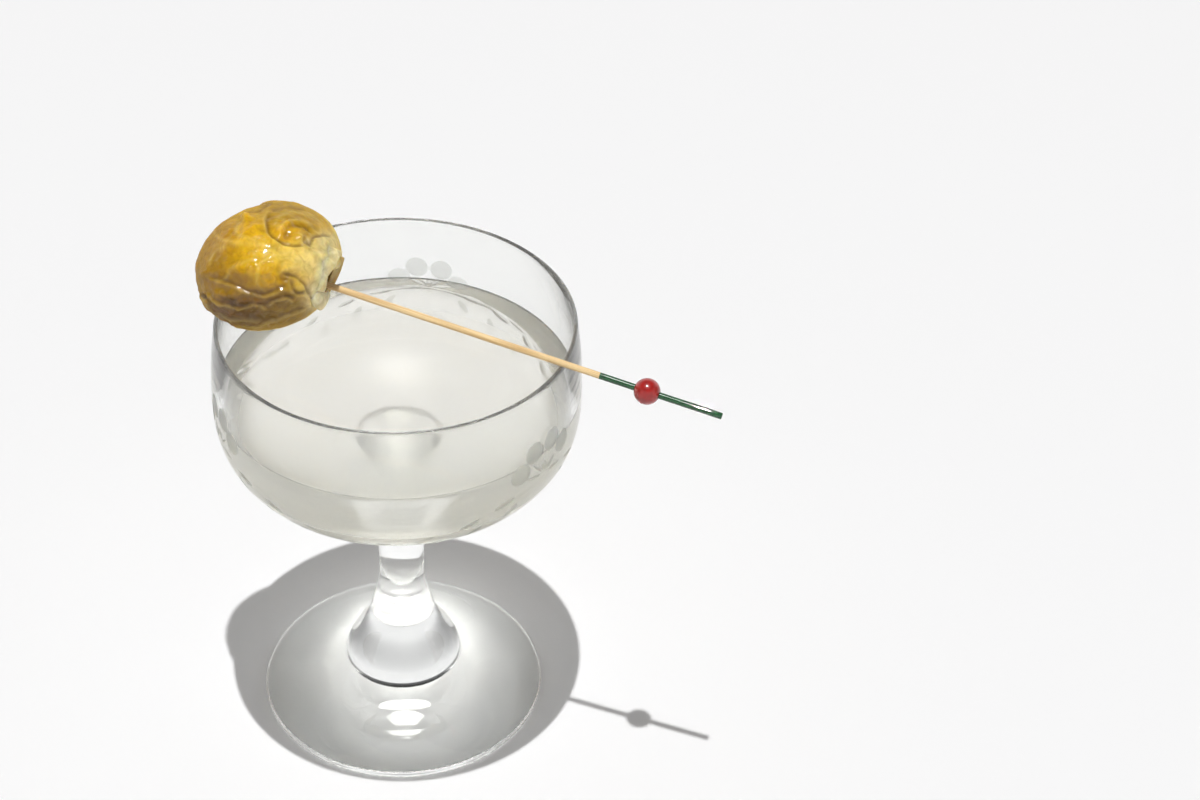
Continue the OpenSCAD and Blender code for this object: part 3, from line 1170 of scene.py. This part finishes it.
    def patches(self) -> list[Patch]:
        """Lists the blisters, the hollows and the washes of colour of the front."""
        return [
            # washes, widest first
            Patch(-2.0, 2.5, 13.0, 8.0, 0.0, "#DCAE04", 1.0),
            Patch(-13.0, 7.0, 6.0, 8.0, 0.0, "#A87A08", 0.8),
            Patch(-15.0, 0.0, 5.0, 6.0, 0.0, "#96700C", 0.8),
            Patch(6.0, 12.0, 9.0, 4.5, 0.0, "#A8820A", 0.85),
            Patch(-5.0, -11.0, 13.0, 5.0, 0.0, "#6A480A", 1.0),
            Patch(0.0, -7.4, 7.0, 2.8, 0.0, "#74500A", 0.9),
            Patch(6.0, -12.0, 7.0, 3.0, 0.0, "#94721E", 0.9),
            Patch(-9.0, -3.4, 6.0, 2.6, 0.0, "#80580A", 0.7),
            Patch(4.0, 3.4, 6.0, 2.6, 0.0, "#E6C440", 0.8),
            Patch(12.0, 1.4, 6.4, 4.2, 0.0, "#E8CE78", 1.0),
            Patch(15.0, -2.0, 3.0, 5.4, 0.0, "#F2DEA2", 1.0),
            Patch(12.4, -7.5, 3.0, 3.6, 0.0, "#EED9A0", 1.0),
            Patch(15.0, 6.0, 3.0, 2.4, 0.0, "#DCCA86", 0.9),
            Patch(4.0, 8.6, 3.2, 2.2, 0.0, "#D6A414", 0.7),
            # the next two are dents, tinted darker as painted shade
            Patch(4.7, 7.6, 1.1, 1.2, -0.9, "#B4871A", 0.9),
            Patch(3.9, -2.8, 1.4, 1.2, -0.8, "#80580E", 0.9),
            # blisters between the veins
            Patch(-13.2, -0.2, 3.4, 3.0, 0.8, "#AE840E", 0.5),
            Patch(0.6, -3.0, 2.5, 3.0, 0.95, "#D0A010", 0.5),
            Patch(4.2, -6.4, 2.3, 1.2, 0.55),
            Patch(-4.6, 9.4, 2.6, 3.2, 0.75, "#D8A60C", 0.5),
            Patch(-10.4, 9.0, 2.4, 2.8, 0.6),
            Patch(-6.0, -1.0, 3.0, 2.0, 0.5),
            Patch(-4.4, 3.2, 1.6, 1.1, 0.35),
            Patch(7.6, -5.2, 1.5, 1.1, 0.5, "#CCAA40", 0.8),
            Patch(9.8, 5.8, 0.9, 0.9, 0.5, "#CFC08A", 0.8),
            Patch(7.6, 7.2, 0.8, 0.9, 0.4),
            Patch(2.4, 6.9, 1.2, 0.9, 0.4),
            Patch(-12.0, -7.6, 2.6, 1.4, 0.55),
            Patch(-6.6, -8.2, 2.0, 1.0, 0.4),
        ]

    def pimples(self) -> list[Patch]:
        """Lists the smallest blisters, each of which catches one small highlight."""
        size = (self.pimple_r, self.pimple_r, self.pimple_lift)
        spots = (
            ((-3.9, 0.1), (-4.1, -0.5), (-1.0, -1.6), (-0.2, -0.4), (0.5, -0.3), (-0.3, -1.8))
            + ((-5.6, 11.6), (-5.0, 11.9), (-2.6, -8.7), (0.1, -8.7), (-8.8, -7.3), (-15.6, -2.1))
            + ((8.9, 7.0), (3.6, 8.2), (3.0, 8.9), (2.1, 5.2), (2.6, 4.2), (3.3, 3.8))
            + ((10.0, 4.6), (11.8, 6.1), (-4.9, 12.4), (5.4, 10.4), (-7.4, -10.2), (-11.6, -9.2))
        )
        return [Patch(right, up, *size) for right, up in spots]

    def flaps(self) -> list[Flap]:
        """Lists the torn leaf ends round the cut: the near edge, the hanging end and the far edge."""
        return [
            Flap(
                ((14.6, 5.0, 8.4), (12.6, 1.0, 12.0), (10.8, -3.0, 13.0), (9.8, -6.6, 12.0)),
                ((18.4, 3.4, 5.6), (16.6, 0.0, 9.2), (14.5, -2.8, 11.0), (12.9, -5.9, 11.8)),
                tint="#F0DFA8",
                bow=0.3,
            ),
            Flap(
                ((9.6, -5.8, 12.2), (12.2, -6.4, 11.4), (13.6, -6.6, 7.6), (14.8, -6.4, 3.4)),
                ((10.9, -9.7, 10.6), (12.8, -11.0, 9.2), (14.4, -9.4, 6.4), (15.2, -7.4, 3.2)),
                tint="#F3E4B6",
                bow=0.4,
            ),
            Flap(
                ((16.8, 3.0, 3.8), (16.2, -0.6, 1.4), (15.2, -3.4, -0.2), (14.4, -6.2, 0.2)),
                ((19.0, 1.8, 2.8), (18.2, -1.2, 0.4), (17.0, -3.9, -0.6), (15.3, -6.8, -0.4)),
                tint="#C9B680",
                bow=-0.3,
            ),
        ]

    def wrapped(self, u: np.ndarray, v: np.ndarray) -> tuple[np.ndarray, np.ndarray]:
        """Lays the six outer leaves round the ball.

        Args:
            u: Angle from the stem end, in degrees.
            v: Angle round the long axis, in degrees.

        Returns:
            How far the surface lies below the outermost leaf, in millimetres, and the leaves' ribs.
        """
        leaves = (
            (0, 128, 62, 1.0),
            (118, 112, 58, 0.9),
            (238, 118, 60, 0.9),
            (62, 86, 40, 0.6),
            (182, 92, 42, 0.6),
            (300, 96, 42, 0.6),
        )
        cover = np.zeros(len(u))
        rib = np.zeros(len(u))
        for middle, reach, half, height in leaves:
            aside = np.abs((v - middle + 540) % 360 - 180)
            spread = aside / half * (0.55 + 0.45 * np.sin(np.radians(np.minimum(90, u))))
            edge = (u / reach) ** 2.4 + spread**2.4
            laid = height * ease((1.08 - edge) * 6)
            fan = 0.5 + 0.5 * np.cos(aside / half * math.pi * 3 - u / 26)
            stands = laid > cover
            rib[stands] = (fan * ease(laid / 0.5) * (1 - u / 220))[stands]
            cover = np.maximum(cover, laid)
        return self.leaf_step * (1 - cover), rib

    def sculpt(self, ball: np.ndarray) -> tuple[np.ndarray, np.ndarray]:
        """Shapes and tints the sprout.

        Args:
            ball: N x 3 array of directions from the sprout's middle, +X to the stem end.

        Returns:
            Points in millimetres in the row frame, and linear colours.
        """
        half = np.array([self.half_long, self.half_wide, self.half_thick])
        full = 1 / np.linalg.norm(ball / half, axis=1)
        u = np.degrees(np.arccos(np.clip(ball[:, 0], -1, 1)))
        v = np.degrees(np.arctan2(ball[:, 2], ball[:, 1])) % 360
        base = ball * full[:, None]
        normal = base / half**2
        normal /= np.linalg.norm(normal, axis=1)[:, None]
        axes = np.array(self.axes())
        world_out = base @ axes[:3, :3].T
        world_normal = normal @ axes[:3, :3].T

        right, up, face = self.chart()
        places = np.column_stack([world_out @ right, world_out @ up])
        shown = ease((world_normal @ face + 0.05) / 0.30)

        sunk, rib = self.wrapped(u, v)
        broad = cloud(base, 7.0, 1.0)
        fine = cloud(base, 2.1, 2.0)
        tiny = cloud(base, 0.9, 3.0)
        back = -sunk + 0.22 * rib + 0.30 * broad + 0.12 * fine

        tint = np.tile(rgb(self.gold), (len(ball), 1))
        tint = stain(tint, self.pale, 0.55 * rib * (1 - shown))
        # painted shade: browner where the back lies sunk below the outer leaves, in the gaps
        deep = ease(sunk / self.leaf_step) * (1 - shown)
        tint = stain(tint, self.brown, 0.7 * deep)
        tint = stain(tint, self.pale, ease((58 - u) / 34) * (1 - shown))

        front = -0.5 + 0.25 * broad + 0.10 * fine
        for patch in self.patches() + self.pimples():
            aside = ((places[:, 0] - patch.right) / patch.wide) ** 2
            above = ((places[:, 1] - patch.up) / patch.high) ** 2
            near = np.exp(-aside - above)
            front += self.patch_lift * patch.lift * np.minimum(near * 1.25, 1.0) ** 1.2
            if patch.tint:
                tint = stain(tint, patch.tint, np.clip(near * 1.35, 0, 1) * patch.strength * shown)
        wander = np.column_stack([cloud(base, 3.0, 4.0), cloud(base, 3.0, 5.0)]) * 0.3
        for drawn in self.lines():
            distance, side, share = path_distance(places + wander, smooth_path(drawn.points))
            fade = ease(share / 0.12) * ease((1 - share) / 0.2)
            if drawn.mark is Mark.VEIN:
                ridge = bell(distance, 0.85 * drawn.width) * fade
                front += self.vein_lift * drawn.lift * ridge
                tint = stain(tint, self.pale, self.vein_pale * ridge * shown)
            elif drawn.mark is Mark.CREASE:
                groove = bell(distance, drawn.width) * fade
                front -= self.crease_sink * drawn.lift * groove
                # painted shade: the creases are stained brown
                tint = stain(tint, self.brown, self.crease_dark * groove * shown)
            else:
                signed = distance * side
                step = ease((signed + drawn.width * 0.35) / (drawn.width * 0.7))
                reach = np.exp(-np.maximum(signed, 0) / 3.0) * fade
                dip = 0.55 * (1 - step) * np.exp(-distance / 0.9) * fade
                front += self.edge_lift * drawn.lift * (step * reach - dip)
                # painted highlight on the upper leaf's lip and painted shadow on the leaf beneath
                lit = bell(signed - 0.25, 0.35) * fade
                shade = bell(signed + 0.45, 0.5) * fade
                tint = stain(tint, self.pale, self.edge_pale * lit * shown)
                tint = stain(tint, self.brown, self.edge_dark * shade * shown)
        low = ease((-4.0 - places[:, 1]) / 5.0) * ease((9 - places[:, 0]) / 5)
        front += low * (0.42 * fine + 0.20 * tiny) + 0.07 * fine + 0.05 * tiny
        height = back * (1 - shown) + front * shown
        tint *= (1 + 0.16 * fine + 0.10 * broad)[:, None]

        points = base + normal * height[:, None]
        points = points @ axes[:3, :3].T + axes[:3, 3]
        points, tint = self.trim_stem(points, tint)
        return self.press_on_rim(points), np.clip(tint, 0.0, 1.0)

    def trim_stem(self, points: np.ndarray, tint: np.ndarray) -> tuple[np.ndarray, np.ndarray]:
        """Cuts the stem end and hollows it round the pick, leaving the outer leaves as a ragged collar.

        Args:
            points: N x 3 array of millimetres.
            tint: N x 3 array of linear colours.

        Returns:
            The trimmed points and their colours.
        """
        place = np.array(self.line.frame())
        local = (points - place[:3, 3]) @ place[:3, :3]
        cut_at = -self.line.run / math.cos(self.line.rise) + self.cut
        away = np.hypot(local[:, 1], local[:, 2])
        angle = np.arctan2(local[:, 2], local[:, 1])
        ragged = 0.7 * np.sin(2 * angle + 0.6) + 0.35 * np.sin(5 * angle + 1.9)
        wall = self.hollow_r + 0.7 * np.sin(3 * angle + 0.4)
        dip = self.hollow_deep * ease((wall - away) / 1.6 + 0.5)
        limit = cut_at + ragged + 0.4 - dip
        over = local[:, 0] > limit
        # painted shade: the hollow round the pick goes dark brown, darker the deeper it is
        depth = np.clip((local[:, 0] - limit) / 0.8, 0, 1) * ease(dip / self.hollow_deep * 1.6)
        tint = stain(tint, self.pith, 0.85 * depth)
        rim = bell(away - wall - 1.2, 0.9) * bell(local[:, 0] - limit, 1.2)
        tint = stain(tint, self.collar, 0.6 * rim)
        local[over, 0] = limit[over]
        return local @ place[:3, :3].T + place[:3, 3], tint

    def press_on_rim(self, points: np.ndarray) -> np.ndarray:
        """Dents the soft leaves where they rest on the glass's lip.

        Args:
            points: N x 3 array of millimetres.

        Returns:
            The points, none of them inside the lip.
        """
        across = np.hypot(points[:, 0], points[:, 1])
        middle_z = self.line.rim_z - self.line.lip_t / 2
        gap = np.column_stack([across - self.line.rim_r, points[:, 2] - middle_z])
        distance = np.hypot(gap[:, 0], gap[:, 1])
        push = np.maximum(self.press_r - distance, 0.0)
        rise = np.where(distance < self.press_r, push + 0.02, 0.0)
        soft = 0.35 * bell(distance - self.press_r, 0.8) * (gap[:, 1] > -0.3)
        points[:, 2] += rise + np.where(distance < 2.2, soft, 0.0)
        return points

    def build(self) -> Piece:
        """Builds the sprout with its torn collar and dresses it."""
        bm = bmesh.new()
        bmesh.ops.create_icosphere(bm, subdivisions=7, radius=1.0)
        ball = np.array([vert.co.normalized()[:] for vert in bm.verts])
        points, tint = self.sculpt(ball)
        for vert, point in zip(bm.verts, points):
            vert.co = point
        chart = self.chart()
        for flap in self.flaps():
            corners, faces = flap.shell()
            middle = np.array(self.line.sprout_middle())
            added = [bm.verts.new(corner @ chart + middle) for corner in corners]
            made = [bm.faces.new([added[index] for index in face]) for face in faces]
            bmesh.ops.recalc_face_normals(bm, faces=made)
            patchy = 1 - 0.25 * (cloud(corners, 1.6, 8.0) + 0.4)[:, None]
            tint = np.vstack([tint, np.clip(rgb(flap.tint) * patchy, 0.0, 1.0)])
        piece = make_piece(bm, "sprout_pickled")
        write_tint(piece.data, "leaf_tint", tint)
        piece.data.materials.append(self.finish.make())
        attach(piece, "root")
        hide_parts("sprout")
        return piece


# ---------------------------------------------------------------- studio


@dataclass
class Studio:
    """Pale table, one small hard key from nearly overhead, soft fill all round, and the camera."""

    key_at: tuple[float, float, float] = (-0.023, -0.212, 2.330)
    key_radius: float = 0.014
    floor_light: float = 0.70
    drink_light: float = 0.46
    garnish_light: float = 1.0
    glow_light: float = 0.22
    glow_at: tuple[float, float] = (0.003, -0.004)
    glow_reach: float = 0.034
    flag: str = "#96897B"
    flag_from: float = 0.84
    flag_to: float = 0.92
    lens: float = 71.256
    camera_at: tuple[float, float, float] = (0, -0.480757, 0.482435)
    camera_turn: float = 6.199
    camera_down: float = 38.412
    camera_roll: float = 2.625

    def world(self) -> None:
        """Makes the soft fill: bright all round, dark overhead, a dark flag at the left and right."""
        world = bpy.data.worlds.new("soft_studio")
        bpy.context.scene.world = world
        world.use_nodes = True
        tree = world.node_tree
        tree.nodes.clear()
        where = add_node(tree, "ShaderNodeTexCoord")
        parts = add_node(tree, "ShaderNodeSeparateXYZ", {"Vector": where.outputs["Generated"]})
        stops = [(0.0, 0.95), (0.42, 0.88), (0.60, 0.28), (0.80, 0.05), (1.0, 0.02)]
        levels = [(height, (level, level, level, 1.0)) for height, level in stops]
        fill = ramp(tree, parts.outputs["Z"], levels)
        aside = add_node(tree, "ShaderNodeMath", {0: parts.outputs["X"]}, operation="ABSOLUTE")
        span = {"Value": aside.outputs["Value"], "From Min": self.flag_from, "From Max": self.flag_to}
        flag = add_node(tree, "ShaderNodeMapRange", span, interpolation_type="SMOOTHSTEP")
        sky = blend(tree, flag.outputs["Result"], fill, linear(self.flag))
        glow = add_node(tree, "ShaderNodeBackground", {"Color": sky, "Strength": 1.0})
        add_node(tree, "ShaderNodeOutputWorld", {"Surface": glow.outputs["Background"]})

    def floor(self) -> Piece:
        """Makes the pale table top."""
        bm = bmesh.new()
        bmesh.ops.create_circle(bm, cap_ends=True, cap_tris=False, segments=96, radius=4000.0)
        bmesh.ops.translate(bm, verts=bm.verts, vec=(0, 0, -0.06))
        bmesh.ops.recalc_face_normals(bm, faces=bm.faces)
        table = make_piece(bm, "table_top")
        if table.data.polygons[0].normal.z < 0:
            table.data.flip_normals()
        settings = {"Base Color": (0.95, 0.95, 0.955, 1), "Roughness": 0.9, "Specular IOR Level": 0.1}
        table.data.materials.append(new_surface("table_matt_laminate", settings)[0])
        return table

    def lamp(self, name: str, radiance: float, lit: list[Piece], shading: list[Piece]) -> None:
        """Makes one small round lamp at the key's place.

        Args:
            name: Name of the lamp.
            radiance: Brightness of a white surface that faces it.
            lit: Pieces that it lights.
            shading: Pieces that throw its shadows.
        """
        data = bpy.data.lights.new(name, "POINT")
        data.energy = FULL_LAMP * radiance
        data.shadow_soft_size = self.key_radius
        data.cycles.use_multiple_importance_sampling = False
        data.use_nodes = True
        tree = data.node_tree
        tree.nodes.clear()
        steady = add_node(tree, "ShaderNodeLightFalloff", {"Strength": 1.0})
        shine = add_node(tree, "ShaderNodeEmission", {"Strength": steady.outputs["Constant"]})
        add_node(tree, "ShaderNodeOutputLight", {"Surface": shine.outputs["Emission"]})
        lamp = bpy.data.objects.new(name, data)
        lamp.location = self.key_at
        bpy.context.scene.collection.objects.link(lamp)
        self.link_light(lamp, lit, shading)

    def link_light(self, lamp: Piece, lit: list[Piece], shading: list[Piece]) -> None:
        """Says which pieces a lamp lights and which throw its shadows."""
        receivers = bpy.data.collections.new(lamp.name + "_lights")
        blockers = bpy.data.collections.new(lamp.name + "_shadows")
        for piece in lit:
            receivers.objects.link(piece)
        for piece in shading:
            blockers.objects.link(piece)
        lamp.light_linking.receiver_collection = receivers
        lamp.light_linking.blocker_collection = blockers

    def glow(self, table: Piece) -> None:
        """Makes the soft pool of light that the filled bowl gathers on the table round the bell."""
        data = bpy.data.lights.new("gathered_light", "SPOT")
        data.energy = FULL_LAMP * self.glow_light
        data.spot_size = 2 * math.atan(self.glow_reach)
        data.spot_blend = 1.0
        data.shadow_soft_size = 0.001
        data.cycles.use_multiple_importance_sampling = False
        lamp = bpy.data.objects.new("gathered_light", data)
        lamp.location = (self.glow_at[0], self.glow_at[1], 1.0)
        bpy.context.scene.collection.objects.link(lamp)
        self.link_light(lamp, [table], [table])

    def camera(self) -> None:
        """Makes the camera, looking down on the drink from its -Y side with a slight turn and roll."""
        data = bpy.data.cameras.new("view")
        data.lens = self.lens
        data.sensor_width = 36.0
        data.clip_start = 0.01
        data.clip_end = 50.0
        camera = bpy.data.objects.new("view", data)
        pose = Matrix.Rotation(-math.radians(self.camera_turn), 4, "Z")
        pose = pose @ Matrix.Rotation(math.radians(90 - self.camera_down), 4, "X")
        pose = Matrix.Translation(self.camera_at) @ pose
        camera.matrix_world = pose @ Matrix.Rotation(math.radians(self.camera_roll), 4, "Z")
        bpy.context.scene.collection.objects.link(camera)
        bpy.context.scene.camera = camera

    def build(self, clear: list[Piece], solid: list[Piece]) -> None:
        """Sets the table, the lights and the camera.

        Args:
            clear: Pieces that let the key through onto the others.
            solid: Pieces that throw the key's shadow on all others.
        """
        bpy.context.scene.view_settings.view_transform = "Standard"
        rays = bpy.context.scene.cycles
        rays.blur_glossy = 0.0  # keeps the lamps' light off the table under the glass
        rays.max_bounces = 20  # light runs a long way inside the thin wall before it leaves the lip
        rays.transmission_bounces = 20
        rays.glossy_bounces = 20
        self.world()
        table = self.floor()
        everything = clear + solid
        self.lamp("key_on_table", self.floor_light, [table], everything)
        self.lamp("key_on_drink", self.drink_light, clear, [table])
        self.lamp("key_on_garnish", self.garnish_light, solid, solid)
        self.glow(table)
        self.camera()


# ---------------------------------------------------------------- build


def report(step: str, build: Callable[[], Piece]) -> Piece:
    """Builds one piece and logs its size.

    Args:
        step: What is being built.
        build: Builds the piece.

    Returns:
        The piece.
    """
    piece = build()
    mesh = piece.data
    triangles = sum(len(polygon.vertices) - 2 for polygon in mesh.polygons)
    LOG.info("%s: %s, %d vertices, %d triangles", step, piece.name, len(mesh.vertices), triangles)
    return piece


def main() -> None:
    """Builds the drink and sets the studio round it."""
    logging.basicConfig(level=logging.INFO, format="%(name)s %(message)s")
    line = PickLine()
    coupe = Coupe(SodaGlass(), Engraving())
    glass = report("glass", coupe.build)
    drink = report("drink", Drink(PaleSpirit(), coupe).build)
    sprout = report("sprout", Sprout(PickledLeaf(), line).build)
    pick = report("pick", Pick(Bamboo(), line).build)
    bead = report("bead", Bead(RedEnamel(), line).build)
    Studio().build([glass, drink], [sprout, pick, bead])


if __name__ == "__main__":
    main()
